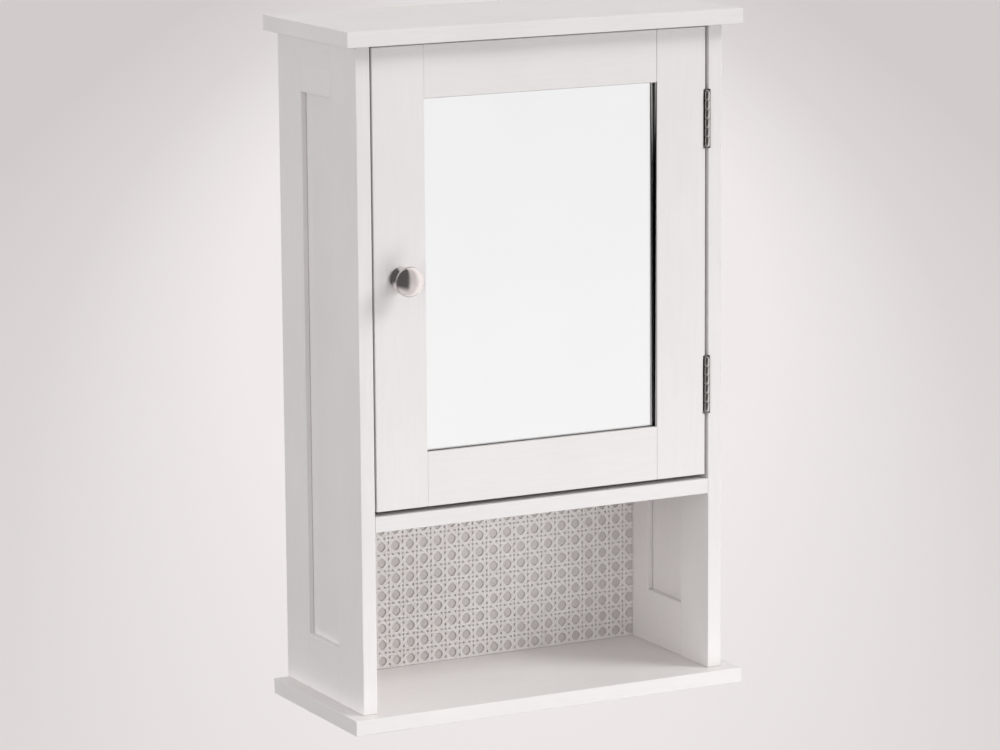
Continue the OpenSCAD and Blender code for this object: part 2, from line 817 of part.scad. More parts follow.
module hinge_side_screws() color(steel) at_hinges() at_side_leaf_screws() wood_screw(side_leaf_screw);
module hinge_door_screws() color(steel) at_hinges() at_door_leaf_screws() wood_screw(door_leaf_screw);

// ---------------------------------------------------------------- nodes

top_board();
bottom_board();
middle_shelf();
inner_shelf();
back_panel();
cane_webbing();
top_hanging_rail();
bottom_back_rail();
left_side_front_stile();
left_side_rear_stile();
left_side_top_rail();
left_side_bottom_rail();
left_side_panel();
right_side_front_stile();
right_side_rear_stile();
right_side_top_rail();
right_side_bottom_rail();
right_side_panel();
left_hanger_plate();
right_hanger_plate();
hanger_screws();
top_cam_locks();
top_cam_bolts();
top_dowels();
shelf_cam_locks();
shelf_cam_bolts();
shelf_dowels();
rail_dowels();
bottom_screws();
shelf_pins();
catch_housing();
catch_magnet();
catch_poles();
catch_screws();
door_left_stile();
door_right_stile();
door_top_rail();
door_bottom_rail();
mirror_glass();
mirror_foam_tape();
mirror_backing();
backing_clips();
backing_screws();
strike_plate();
strike_screws();
knob();
knob_screw();
knob_washer();
upper_hinge_side_leaf();
upper_hinge_door_leaf();
upper_hinge_pin();
lower_hinge_side_leaf();
lower_hinge_door_leaf();
lower_hinge_pin();
hinge_side_screws();
hinge_door_screws();
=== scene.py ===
"""Looks of the hanging wall cabinet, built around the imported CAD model.

Units are metres in the frame of the CAD model: +Z up, the wall at y = 0, the door facing -Y.
"""
import math

import bmesh
import bpy
from mathutils import Matrix, Vector


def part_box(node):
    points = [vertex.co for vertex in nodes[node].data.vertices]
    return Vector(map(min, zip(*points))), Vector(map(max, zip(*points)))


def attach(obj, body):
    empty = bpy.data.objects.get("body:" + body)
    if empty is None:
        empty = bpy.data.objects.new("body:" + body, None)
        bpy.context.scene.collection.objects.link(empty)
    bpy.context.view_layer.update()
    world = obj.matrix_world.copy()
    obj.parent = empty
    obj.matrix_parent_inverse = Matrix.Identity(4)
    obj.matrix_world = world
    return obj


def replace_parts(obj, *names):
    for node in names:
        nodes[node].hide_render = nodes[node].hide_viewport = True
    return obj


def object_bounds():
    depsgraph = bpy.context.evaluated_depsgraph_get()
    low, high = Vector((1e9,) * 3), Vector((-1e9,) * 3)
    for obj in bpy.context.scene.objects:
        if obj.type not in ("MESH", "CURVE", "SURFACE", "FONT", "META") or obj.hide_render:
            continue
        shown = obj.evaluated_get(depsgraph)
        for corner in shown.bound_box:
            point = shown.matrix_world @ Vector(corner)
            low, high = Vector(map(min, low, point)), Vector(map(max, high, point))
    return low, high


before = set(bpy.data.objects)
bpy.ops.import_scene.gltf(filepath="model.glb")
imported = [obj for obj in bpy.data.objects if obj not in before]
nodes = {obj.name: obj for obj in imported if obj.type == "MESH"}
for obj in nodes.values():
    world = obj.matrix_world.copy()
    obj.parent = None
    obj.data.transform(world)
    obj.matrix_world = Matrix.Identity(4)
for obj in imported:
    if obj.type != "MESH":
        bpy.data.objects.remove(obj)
cad_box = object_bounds()
MM = 0.001


# ------------------------------------------------------------------ places, from the CAD model

cabinet_low, cabinet_high = cad_box
cane_low, cane_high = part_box("cane_webbing")
glass_low, glass_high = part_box("mirror_glass")
knob_low, knob_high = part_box("knob")
upper_pin, lower_pin = (sum(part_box(name), Vector()) / 2 for name in ("upper_hinge_pin", "lower_hinge_pin"))

# The hollows in the stiles that take the hinge barrels, and the reach of the painted shade inside them
HOLLOW_RADIUS = 3.0 * MM
HOLLOW_LENGTH = 46 * MM


# ------------------------------------------------------------------ material building blocks

class Surface:
    """A Principled material with short calls for the nodes that feed it."""

    def __init__(self, name, **values):
        self.material = bpy.data.materials.new(name)
        self.material.use_nodes = True
        self.tree = self.material.node_tree
        self.tree.nodes.clear()
        self.out = self.add("ShaderNodeOutputMaterial")
        self.shader = self.add("ShaderNodeBsdfPrincipled")
        self.link(self.shader.outputs["BSDF"], self.out.inputs["Surface"])
        self.place = self.add("ShaderNodeTexCoord").outputs["Object"]
        for socket, value in values.items():
            self.shader.inputs[socket.replace("_", " ")].default_value = value

    def add(self, kind, **settings):
        node = self.tree.nodes.new(kind)
        for key, value in settings.items():
            setattr(node, key, value)
        return node

    def link(self, source, target):
        self.tree.links.new(source, target)
        return source

    def stretched(self, scale):
        """The place on the object, stretched by a factor along each axis."""
        mapping = self.add("ShaderNodeMapping")
        mapping.inputs["Scale"].default_value = scale
        self.link(self.place, mapping.inputs["Vector"])
        return mapping.outputs["Vector"]

    def noise(self, size, detail=3.0, rough=0.55, scale=(1, 1, 1)):
        """Noise whose features are about size metres across."""
        node = self.add("ShaderNodeTexNoise")
        node.inputs["Scale"].default_value = 1 / size
        node.inputs["Detail"].default_value = detail
        node.inputs["Roughness"].default_value = rough
        self.link(self.stretched(scale), node.inputs["Vector"])
        return node.outputs["Fac"]

    def cells(self, size, scale=(1, 1, 1)):
        """Distance to the nearest of random points about size metres apart."""
        node = self.add("ShaderNodeTexVoronoi")
        node.inputs["Scale"].default_value = 1 / size
        self.link(self.stretched(scale), node.inputs["Vector"])
        return node.outputs["Distance"]

    def ramp(self, source, *stops):
        """A colour ramp; each stop is (position, colour)."""
        node = self.add("ShaderNodeValToRGB")
        points = node.color_ramp.elements
        while len(points) < len(stops):
            points.new(0.5)
        for point, (position, colour) in zip(points, stops):
            point.position = position
            point.color = (*colour, 1)
        self.link(source, node.inputs["Fac"])
        return node.outputs["Color"]

    def spread(self, source, low, high, start=0.3, end=0.7):
        """Maps the middle of a noise to the range from low to high."""
        node = self.add("ShaderNodeMapRange")
        for key, value in (("From Min", start), ("From Max", end), ("To Min", low), ("To Max", high)):
            node.inputs[key].default_value = value
        self.link(source, node.inputs["Value"])
        return node.outputs["Result"]

    def math(self, operation, first, second):
        node = self.add("ShaderNodeMath", operation=operation)
        for socket, value in zip(node.inputs, (first, second)):
            if isinstance(value, (int, float)):
                socket.default_value = value
            else:
                self.link(value, socket)
        return node.outputs["Value"]

    def mix(self, factor, first, second):
        """Mixes two colours; each is a socket or a colour."""
        node = self.add("ShaderNodeMix", data_type="RGBA")
        for key, value in (("Factor", factor), ("A", first), ("B", second)):
            kind = "VALUE" if key == "Factor" else "RGBA"
            socket = next(s for s in node.inputs if s.name == key and s.type == kind)
            if isinstance(value, bpy.types.NodeSocket):
                self.link(value, socket)
            else:
                socket.default_value = value if key == "Factor" else (*value, 1)
        return next(s for s in node.outputs if s.type == "RGBA")

    def colour(self, source):
        self.link(source, self.shader.inputs["Base Color"])

    def roughness(self, source):
        self.link(source, self.shader.inputs["Roughness"])

    def bump(self, *layers):
        """Stacks bump layers; each is (height, depth in metres)."""
        normal = None
        for height, depth in layers:
            node = self.add("ShaderNodeBump")
            node.inputs["Strength"].default_value = 1.0
            node.inputs["Distance"].default_value = depth
            self.link(height, node.inputs["Height"])
            if normal is not None:
                self.link(normal, node.inputs["Normal"])
            normal = node.outputs["Normal"]
        self.link(normal, self.shader.inputs["Normal"])


# How far a pattern is drawn out along each axis of the object
ALONG = {"x": (0.06, 1, 1), "y": (1, 0.06, 1), "z": (1, 1, 0.06)}


# ------------------------------------------------------------------ materials

# Painted shade inside the hinge hollows: near black, darker than bare board is, so that the barrels stand
# out
HOLLOW_PAINTED_SHADE = (0.05, 0.04, 0.034)
HOLLOW_BLUR = 0.2 * MM


def in_hollow(s, middle, spacing, radius, length):
    """1 inside two upright hollows, one above the other with middle between them, and 0 outside."""
    offset = s.add("ShaderNodeVectorMath", operation="SUBTRACT")
    s.link(s.place, offset.inputs[0])
    offset.inputs[1].default_value = middle
    axes = s.add("ShaderNodeSeparateXYZ")
    s.link(offset.outputs["Vector"], axes.inputs["Vector"])
    squares = [s.math("POWER", s.math("ABSOLUTE", axes.outputs[axis], 0.0), 2.0) for axis in ("X", "Y")]
    from_axis = s.math("POWER", s.math("ADD", *squares), 0.5)
    from_centre = s.math("SUBTRACT", s.math("ABSOLUTE", axes.outputs["Z"], 0.0), spacing / 2)
    from_centre = s.math("ABSOLUTE", from_centre, 0.0)
    near_axis = s.spread(from_axis, 1.0, 0.0, start=radius, end=radius + HOLLOW_BLUR)
    near_centre = s.spread(from_centre, 1.0, 0.0, start=length / 2, end=length / 2 + HOLLOW_BLUR)
    return s.math("MULTIPLY", near_axis, near_centre)


def painted(name, along, light=(0.885, 0.855, 0.845), shade=(0.85, 0.82, 0.81), hollow=None):
    """Sprayed satin paint: an even orange peel over a faint grain, with slight changes of tone. Hollow
    holds the places of the hinge hollows, which get painted shade, near black, inside."""
    s = Surface(name, Specular_IOR_Level=0.42)
    cloud = s.noise(90 * MM, detail=2)
    grain = s.noise(2.2 * MM, detail=4, scale=ALONG[along])
    peel = s.noise(0.9 * MM, detail=2)
    tone = s.math("ADD", s.math("MULTIPLY", cloud, 0.6), s.math("MULTIPLY", grain, 0.4))
    colour = s.ramp(tone, (0.38, shade), (0.62, light))
    if hollow:
        # Painted shade: the inside of the hinge hollows is coloured near black
        colour = s.mix(in_hollow(s, *hollow), colour, HOLLOW_PAINTED_SHADE)
    s.colour(colour)
    s.roughness(s.spread(s.noise(14 * MM), 0.36, 0.46))
    s.bump((grain, 0.018 * MM), (peel, 0.022 * MM))
    return s.material


def bare_wood(name, along, light, dark, ring=9 * MM):
    """Planed softwood or beech: long grain, fine pores and a soft sheen."""
    s = Surface(name, Specular_IOR_Level=0.35)
    bands = s.noise(ring, detail=3, rough=0.5, scale=ALONG[along])
    fibre = s.noise(1.1 * MM, detail=5, rough=0.7, scale=ALONG[along])
    tone = s.math("ADD", s.math("MULTIPLY", bands, 0.62), s.math("MULTIPLY", fibre, 0.38))
    s.colour(s.ramp(tone, (0.36, dark), (0.52, light), (0.66, tuple(c * 0.93 for c in light))))
    s.roughness(s.spread(fibre, 0.5, 0.68))
    s.bump((bands, 0.03 * MM), (fibre, 0.05 * MM))
    return s.material


def hardboard(name):
    """Brown pressed fibre board: matted fibres of several shades."""
    s = Surface(name, Specular_IOR_Level=0.3)
    mat = s.noise(1.6 * MM, detail=6, rough=0.75)
    fleck = s.cells(1.3 * MM, scale=(0.4, 1, 1))
    tone = s.math("ADD", s.math("MULTIPLY", mat, 0.7), s.math("MULTIPLY", fleck, 0.35))
    s.colour(s.ramp(tone, (0.3, (0.12, 0.062, 0.032)), (0.5, (0.21, 0.115, 0.06)),
                    (0.75, (0.33, 0.2, 0.11))))
    s.roughness(s.spread(mat, 0.55, 0.72))
    s.bump((mat, 0.06 * MM))
    return s.material


def cane(name, along):
    """Split cane under white paint: fibre streaks along the strand, and a warm tone where it is thin."""
    s = Surface(name, Specular_IOR_Level=0.35)
    streak = s.noise(0.35 * MM, detail=4, scale=ALONG[along])
    patch = s.noise(7 * MM, detail=3)
    tone = s.math("ADD", s.math("MULTIPLY", streak, 0.45), s.math("MULTIPLY", patch, 0.55))
    s.colour(s.ramp(tone, (0.34, (0.84, 0.79, 0.77)), (0.5, (0.90, 0.87, 0.855)),
                    (0.68, (0.92, 0.895, 0.885))))
    s.roughness(s.spread(patch, 0.42, 0.6))
    s.bump((streak, 0.02 * MM))
    return s.material


def plated(name, tint, rough, scratch=0.006):
    """Plated metal: a tint, with faint smears and hairline polish marks in its gloss."""
    s = Surface(name, Metallic=1.0)
    smear = s.noise(5 * MM, detail=4)
    hairline = s.noise(0.25 * MM, detail=2, scale=(1, 1, 0.08))
    s.colour(s.ramp(smear, (0.35, tuple(c * 0.94 for c in tint)), (0.65, tint)))
    s.roughness(s.spread(s.math("ADD", s.math("MULTIPLY", smear, 0.7), s.math("MULTIPLY", hairline, 0.3)),
                         rough * 0.75, rough * 1.3))
    s.bump((hairline, scratch * MM))
    return s.material


def zinc_plated(name):
    """Bright zinc plate: a cool, slightly blotched crystalline grey."""
    s = Surface(name, Metallic=1.0)
    spangle = s.cells(1.4 * MM)
    cloud = s.noise(4 * MM, detail=3)
    tone = s.math("ADD", s.math("MULTIPLY", spangle, 0.5), s.math("MULTIPLY", cloud, 0.5))
    s.colour(s.ramp(tone, (0.3, (0.52, 0.53, 0.53)), (0.7, (0.68, 0.69, 0.70))))
    s.roughness(s.spread(cloud, 0.26, 0.4))
    s.bump((spangle, 0.01 * MM))
    return s.material


def cast_zinc(name):
    """Die-cast zinc: dull grey with a fine, slightly pitted skin."""
    s = Surface(name, Metallic=1.0)
    skin = s.noise(0.6 * MM, detail=4)
    cloud = s.noise(6 * MM)
    s.colour(s.ramp(cloud, (0.35, (0.36, 0.365, 0.375)), (0.65, (0.48, 0.485, 0.495))))
    s.roughness(s.spread(skin, 0.42, 0.58))
    s.bump((skin, 0.03 * MM))
    return s.material


def mirror_silver(name):
    """The silver layer on the back of the glass, very slightly uneven."""
    s = Surface(name, Metallic=1.0)
    cloud = s.noise(120 * MM, detail=1)
    s.colour(s.ramp(cloud, (0.35, (0.955, 0.965, 0.97)), (0.65, (0.965, 0.972, 0.98))))
    s.roughness(s.spread(cloud, 0.012, 0.022))
    return s.material


def float_glass(name):
    """Clear float glass with a faint, slightly uneven green cast."""
    s = Surface(name, IOR=1.52, Transmission_Weight=1.0)
    cloud = s.noise(60 * MM, detail=2)
    s.colour(s.ramp(cloud, (0.35, (0.982, 0.992, 0.988)), (0.65, (0.988, 0.996, 0.993))))
    s.shader.inputs["Roughness"].default_value = 0.0
    return s.material


def moulded_plastic(name):
    """White moulded plastic with a fine spark-eroded texture."""
    s = Surface(name, Specular_IOR_Level=0.45)
    texture = s.noise(0.5 * MM, detail=3)
    cloud = s.noise(8 * MM)
    s.colour(s.ramp(cloud, (0.35, (0.76, 0.76, 0.75)), (0.65, (0.82, 0.82, 0.81))))
    s.roughness(s.spread(texture, 0.38, 0.5))
    s.bump((texture, 0.02 * MM))
    return s.material


def ferrite(name):
    """Sintered ferrite: near black and finely granular."""
    s = Surface(name, Specular_IOR_Level=0.5)
    grit = s.noise(0.3 * MM, detail=4)
    s.colour(s.ramp(grit, (0.35, (0.018, 0.018, 0.02)), (0.65, (0.05, 0.05, 0.054))))
    s.roughness(s.spread(grit, 0.4, 0.6))
    s.bump((grit, 0.02 * MM))
    return s.material


def foam(name):
    """White closed-cell foam tape."""
    s = Surface(name, Specular_IOR_Level=0.2)
    cell = s.cells(0.5 * MM)
    s.colour(s.ramp(cell, (0.1, (0.66, 0.66, 0.64)), (0.6, (0.8, 0.8, 0.785))))
    s.roughness(s.spread(cell, 0.75, 0.9))
    s.bump((cell, 0.08 * MM))
    return s.material


paint = {along: painted("paint_" + along, along) for along in "xyz"}
hinge_hollows = ((upper_pin + lower_pin) / 2, upper_pin.z - lower_pin.z, HOLLOW_RADIUS, HOLLOW_LENGTH)
# The stiles beside the hinges: white paint, with painted shade, near black, in the hollows round the barrels
hinge_stile_paint_and_shade = painted("hinge_stile_paint_and_shade", "z", hollow=hinge_hollows)
panel_paint = painted("panel_paint", "z", light=(0.875, 0.845, 0.835), shade=(0.845, 0.815, 0.805))
# The back panel is painted greyer than the white paint elsewhere: painted shade where it shows through the
# holes of the webbing
back_paint = painted("back_paint", "z", light=(0.74, 0.70, 0.685), shade=(0.70, 0.66, 0.645))
pine = bare_wood("sanded_pine", "x", (0.66, 0.47, 0.28), (0.50, 0.31, 0.15))
beech = bare_wood("beech", "x", (0.66, 0.49, 0.31), (0.54, 0.37, 0.21), ring=4 * MM)
beech_upright = bare_wood("beech_upright", "z", (0.66, 0.49, 0.31), (0.54, 0.37, 0.21), ring=4 * MM)
backing = hardboard("hardboard")
hinge_nickel = plated("hinge_nickel", (0.48, 0.45, 0.435), 0.12)
knob_nickel = plated("knob_nickel", (0.62, 0.575, 0.56), 0.10)
zinc = zinc_plated("zinc_plate")
die_cast = cast_zinc("die_cast_zinc")
silver = mirror_silver("mirror_silver")
glass = float_glass("float_glass")
plastic = moulded_plastic("white_plastic")
magnet = ferrite("ferrite_magnet")
tape = foam("foam_tape")
cane_upright = cane("cane_upright", "z")
cane_across = cane("cane_across", "x")
cane_slanting = cane("cane_slanting", "y")

FINISH = {
    "top_board": paint["x"], "bottom_board": paint["x"],
    "middle_shelf": paint["x"], "inner_shelf": paint["x"],
    "right_side_front_stile": hinge_stile_paint_and_shade, "door_right_stile": hinge_stile_paint_and_shade,
    "back_panel": back_paint, "top_hanging_rail": pine, "bottom_back_rail": pine,
    "catch_housing": plastic, "catch_magnet": magnet, "mirror_backing": backing, "mirror_foam_tape": tape,
    "mirror_glass": glass, "top_cam_locks": die_cast, "shelf_cam_locks": die_cast,
    "top_dowels": beech_upright, "shelf_dowels": beech, "rail_dowels": beech,
}
FINISH_BY_WORD = (
    ("side_panel", panel_paint), ("rail", paint["x"]), ("stile", paint["z"]), ("hinge", hinge_nickel),
)


def finish_of(name):
    """The material of a CAD node: its own, or the first whose word is in its name, or zinc plate."""
    if name in FINISH:
        return FINISH[name]
    if "side" in name and name.endswith("_rail"):
        return paint["y"]
    return next((material for word, material in FINISH_BY_WORD if word in name), zinc)


for name, thing in nodes.items():
    thing.data.materials.clear()
    thing.data.materials.append(finish_of(name))


# ------------------------------------------------------------------ eased edges on the CAD nodes

def ease_edges(thing, width, segments=2):
    """Rounds a node's edges slightly, as sanding and paint do. The node's own mesh stays as it is."""
    weld = thing.modifiers.new("weld", "WELD")
    weld.merge_threshold = 0.01 * MM
    flat = thing.modifiers.new("flat", "DECIMATE")
    flat.decimate_type = "DISSOLVE"
    flat.angle_limit = math.radians(1)
    bevel = thing.modifiers.new("ease", "BEVEL")
    bevel.limit_method = "ANGLE"
    bevel.angle_limit = math.radians(50)
    bevel.width = width
    bevel.segments = segments
    bevel.use_clamp_overlap = False
    bevel.harden_normals = True


# Edge widths of the boards, of the stiles and rails, and of the hinge leaves and their knuckles
BOARD_EDGE = 0.4 * MM
FRAME_EDGE = 0.75 * MM
METAL_EDGE = 0.3 * MM
for name, thing in nodes.items():
    if name in ("top_board", "bottom_board", "middle_shelf", "inner_shelf"):
        ease_edges(thing, BOARD_EDGE, segments=3)
    elif "stile" in name or name.endswith("_rail"):
        ease_edges(thing, FRAME_EDGE)
    elif name.endswith("_leaf"):
        ease_edges(thing, METAL_EDGE)


# ------------------------------------------------------------------ pieces made here

def mesh_piece(name, bm, body, material, smooth=True):
    """Turns a bmesh into a piece that rides on a body."""
    bmesh.ops.recalc_face_normals(bm, faces=bm.faces)
    mesh = bpy.data.meshes.new(name)
    bm.to_mesh(mesh)
    bm.free()
    mesh.polygons.foreach_set("use_smooth", [smooth] * len(mesh.polygons))
    mesh.materials.append(material)
    piece = bpy.data.objects.new(name, mesh)
    bpy.context.scene.collection.objects.link(piece)
    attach(piece, body)
    return piece


def lathe(bm, profile, centre, segments=96):
    """Turns a profile of (radius, distance out) about an axis that runs from centre towards -Y."""
    rings = []
    for radius, out in profile:
        if radius < 1e-6:
            rings.append([bm.verts.new(centre + Vector((0, -out, 0)))])
            continue
        angles = [2 * math.pi * i / segments for i in range(segments)]
        rings.append([bm.verts.new(centre + Vector((radius * math.cos(a), -out, radius * math.sin(a))))
                      for a in angles])
    for ring, following in zip(rings, rings[1:]):
        for i in range(segments):
            j = (i + 1) % segments
            corners = [ring[i % len(ring)], ring[j % len(ring)], following[j % len(following)],
                       following[i % len(following)]]
            bm.faces.new(list(dict.fromkeys(corners)))


def arc(cx, cy, rx, ry, start, end, steps):
    """Points on part of an ellipse, by angle in degrees."""
    angles = [math.radians(start + (end - start) * i / steps) for i in range(steps + 1)]
    return [(cx + rx * math.cos(a), cy + ry * math.sin(a)) for a in angles]


def make_knob():
    """The turned knob: a round foot, a waist and a domed head with a soft rim."""
    head = (knob_high.x - knob_low.x) / 2
    out = knob_high.y - knob_low.y
    centre = Vector(((knob_low.x + knob_high.x) / 2, knob_high.y, (knob_low.z + knob_high.z) / 2))
    foot = head * 0.81
    waist = head * 0.39
    rim = out * 0.74
    lip = out * 0.064
    profile = [(0, 0), (foot - 0.25 * MM, 0)]
    profile += arc(foot - 0.9 * MM, 0.95 * MM, 0.9 * MM, 0.9 * MM, -40, 85, 10)
    profile += arc(foot, rim * 0.53, foot - waist, rim * 0.41, 248, 112, 28)
    profile += arc(head - lip, rim, lip, lip, -75, 28, 14)
    profile += arc(0, rim + lip * 0.5, head - lip * 0.12, out - rim - lip * 0.5, 6, 90, 30)[:-1]
    profile.append((0, out))
    bm = bmesh.new()
    lathe(bm, profile, centre)
    knob = mesh_piece("knob_turned", bm, "door", knob_nickel)
    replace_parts(knob, "knob")


def make_silvering():
    """The silver layer: a sheet with clipped corners, just inside the back of the glass."""
    inset = 0.3 * MM
    clip = 1.2 * MM
    x0, x1 = glass_low.x + inset, glass_high.x - inset
    z0, z1 = glass_low.z + inset, glass_high.z - inset
    front, back = glass_high.y - 0.12 * MM, glass_high.y - 0.05 * MM
    outline = [(x0 + clip, z0), (x1 - clip, z0), (x1, z0 + clip), (x1, z1 - clip), (x1 - clip, z1),
               (x0 + clip, z1), (x0, z1 - clip), (x0, z0 + clip)]
    bm = bmesh.new()
    near = [bm.verts.new((x, front, z)) for x, z in outline]
    far = [bm.verts.new((x, back, z)) for x, z in outline]
    bm.faces.new(near)
    bm.faces.new(far)
    for i in range(len(outline)):
        j = (i + 1) % len(outline)
        bm.faces.new((near[i], near[j], far[j], far[i]))
    mesh_piece("mirror_silvering", bm, "door", silver, smooth=False)


# ------------------------------------------------------------------ cane webbing

# The weave repeats every PITCH: a pair of upright and a pair of level strands between one hole and the
# next, and a strand on each diagonal. HOLE_X and bottom_hole_z place one hole
PITCH_X = 12.5 * MM
PITCH_Z = 13.34 * MM
STRAND_W = 2.15 * MM
STRAND_T = 0.34 * MM
PAIR_OFFSET = 1.72 * MM
SLANT_W = 2.5 * MM
SLANT_T = STRAND_T * 0.8
LIFT = 0.11 * MM
CROSSING = 2.0 * MM
SLANT_LIFT = 0.16 * MM
HOLE_X = 5.3 * MM
POINT_STEP = 1.3 * MM
SLANT_POINT_STEP = 1.0 * MM
SHORTEST_SLANT = 4 * MM
cane_y = cane_low.y + 0.35 * MM
bottom_hole_z = cane_low.z + 6.2 * MM


def ribbon(bm, path, width, thickness):
    """A flat-backed strand with a rounded face along a path of points, facing -Y."""
    section = [(-0.5, 0.4), (-0.47, -0.25), (-0.36, -0.5), (0.36, -0.5), (0.47, -0.25), (0.5, 0.4)]
    rings = []
    for i, point in enumerate(path):
        along = (path[min(i + 1, len(path) - 1)] - path[max(i - 1, 0)]).normalized()
        across = along.cross(Vector((0, 1, 0))).normalized()
        outward = across.cross(along).normalized()
        if outward.y < 0:
            outward = -outward
        rings.append([bm.verts.new(point + across * (u * width) + outward * (v * thickness))
                      for u, v in section])
    count = len(section)
    for ring, following in zip(rings, rings[1:]):
        for i in range(count):
            j = (i + 1) % count
            bm.faces.new((ring[i], ring[j], following[j], following[i]))
    bm.faces.new(rings[0])
    bm.faces.new(list(reversed(rings[-1])))


def wave(distance, reach):
    """A smooth bump that is 1 at 0 and 0 past reach."""
    share = min(1.0, abs(distance) / reach)
    return 0.5 + 0.5 * math.cos(math.pi * share)


def pair_lift(along, pitch, start, which):
    """Height of an upright or level strand where it passes over one strand of a pair and under the other.
    Crossings lie half a pitch from the holes; which is 0 or 1 for the two strands of its own pair."""
    phase = ((along - start) / pitch) % 1.0 - 0.5
    total = 0.0
    for other in (0, 1):
        distance = phase * pitch - (other * 2 - 1) * PAIR_OFFSET
        sign = 1 if (which + other) % 2 == 0 else -1
        total += sign * wave(distance, CROSSING)
    return total * LIFT


def spaced(low, high, step):
    """Evenly spaced values from low to high, about step apart."""
    count = max(2, round((high - low) / step))
    return [low + (high - low) * i / count for i in range(count + 1)]


def make_uprights(bm):
    x0, x1 = cane_low.x + 0.6 * STRAND_W, cane_high.x - 0.6 * STRAND_W
    for column in range(-14, 14):
        for which in (0, 1):
            x = HOLE_X + (column + 0.5) * PITCH_X + (which * 2 - 1) * PAIR_OFFSET
            if not x0 < x < x1:
                continue
            path = [Vector((x, cane_y - pair_lift(z, PITCH_Z, bottom_hole_z, which), z))
                    for z in spaced(cane_low.z + 0.3 * MM, cane_high.z - 0.1 * MM, POINT_STEP)]
            ribbon(bm, path, STRAND_W, STRAND_T)


def make_levels(bm):
    z0, z1 = cane_low.z + 0.5 * STRAND_W, cane_high.z - 0.5 * STRAND_W
    for row in range(-2, 13):
        for which in (0, 1):
            z = bottom_hole_z + (row + 0.5) * PITCH_Z + (which * 2 - 1) * PAIR_OFFSET
            if not z0 < z < z1:
                continue
            path = [Vector((x, cane_y + pair_lift(x, PITCH_X, HOLE_X, which), z))
                    for x in spaced(cane_low.x + 0.3 * MM, cane_high.x - 0.1 * MM, POINT_STEP)]
            ribbon(bm, path, STRAND_W, STRAND_T)


def make_slants(bm, direction):
    """Strands on one diagonal: over the upright pairs and under the level ones, or the other way round."""
    margin = 0.8 * MM
    x0, x1 = cane_low.x + margin, cane_high.x - margin
    z0, z1 = cane_low.z + margin, cane_high.z - margin
    slope = direction * PITCH_Z / PITCH_X
    for line in range(-34, 35):
        z_at_hole = bottom_hole_z + (line + 0.5) * PITCH_Z
        ends = sorted(((z - z_at_hole) / slope + HOLE_X) for z in (z0, z1))
        low, high = max(x0, ends[0]), min(x1, ends[1])
        if high - low < SHORTEST_SLANT:
            continue
        path = []
        for x in spaced(low, high, SLANT_POINT_STEP):
            phase = (x - HOLE_X) / PITCH_X * 2 * math.pi
            lift = -direction * SLANT_LIFT * math.cos(phase)
            path.append(Vector((x, cane_y - lift, z_at_hole + slope * (x - HOLE_X))))
        ribbon(bm, path, SLANT_W, SLANT_T)


def make_webbing():
    """The six-way weave, as four pieces: uprights, levels and the two diagonals."""
    for name, build, material in (("cane_uprights", make_uprights, cane_upright),
                                  ("cane_levels", make_levels, cane_across),
                                  ("cane_slants_rising", lambda bm: make_slants(bm, 1), cane_slanting),
                                  ("cane_slants_falling", lambda bm: make_slants(bm, -1), cane_slanting)):
        bm = bmesh.new()
        build(bm)
        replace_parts(mesh_piece(name, bm, "cabinet", material, smooth=False), "cane_webbing")


make_knob()
make_silvering()
make_webbing()


# ------------------------------------------------------------------ studio

# Where the camera stands, how it is turned (azimuth from straight ahead, pitch down, and roll), and its
# lens and sensor in millimetres
CAMERA_AT = Vector((-1.550, -3.046, 0.3835))
CAMERA_AZIMUTH = -27.465
CAMERA_PITCH = 10.632
CAMERA_ROLL = -0.414
LENS = 156.65
SENSOR_WIDTH = 36.0
VIEW_DEPTH = 200.0
FLOOR_Z = cabinet_low.z - 1.0
FLOOR_REACH = 90.0
# How strongly the floor glows with its own colour: painted light, on top of what the lamps give it
FLOOR_GLOW = 0.18

# The pool of light painted into the floor's colour: its centre, its half width and half length, and how it
# is turned from the door's direction. It lies behind the cabinet as seen from CAMERA_AT, and stays there for
# other views
POOL_CENTRE = (4.22, 8.04)
POOL_SIZE = (1.6, 10.5)
POOL_TURN = -27.5

# Radiance of the studio: overhead, in a band above the horizon, as polished things mirror it high, low
# and to the right, in the dark bay that they also mirror, and past the edge of the floor
OVERHEAD_LEVEL = 0.51
BAND_LEVEL = 0.20
MIRRORED_HIGH = 0.90
MIRRORED_LOW = 1.02
MIRRORED_RIGHT = 1.5
BAY_LEVEL = 0.14
SEEN_LEVEL = 0.85

# Where each of these starts and ends, from one value to the next: heights are the upward part of the
# direction looked in, and azimuths are in degrees from straight ahead of the door, to the right
OVERHEAD_EDGE = (0.3, 0.8)
HORIZON_EDGE = (-0.1, 0.0)
MIRRORED_TURN = (-0.36, -0.04)
BAY_FOOT = (-0.85, -0.3)
BAY_START = (-180, -165)
BAY_END = (6, 23)
RIGHT_START = (32, 60)
RIGHT_END = (90, 125)
ROOM_TINT = (1.0, 0.985, 0.98, 1)


def camera_turn():
    return (Matrix.Rotation(math.radians(CAMERA_AZIMUTH), 4, "Z")
            @ Matrix.Rotation(math.radians(90 - CAMERA_PITCH), 4, "X")
            @ Matrix.Rotation(math.radians(CAMERA_ROLL), 4, "Z"))


def make_camera():
    data = bpy.data.cameras.new("camera")
    data.lens = LENS
    data.sensor_width = SENSOR_WIDTH
    data.clip_end = VIEW_DEPTH
    camera = bpy.data.objects.new("camera", data)
    bpy.context.scene.collection.objects.link(camera)
    camera.matrix_world = Matrix.Translation(CAMERA_AT) @ camera_turn()
    bpy.context.scene.camera = camera


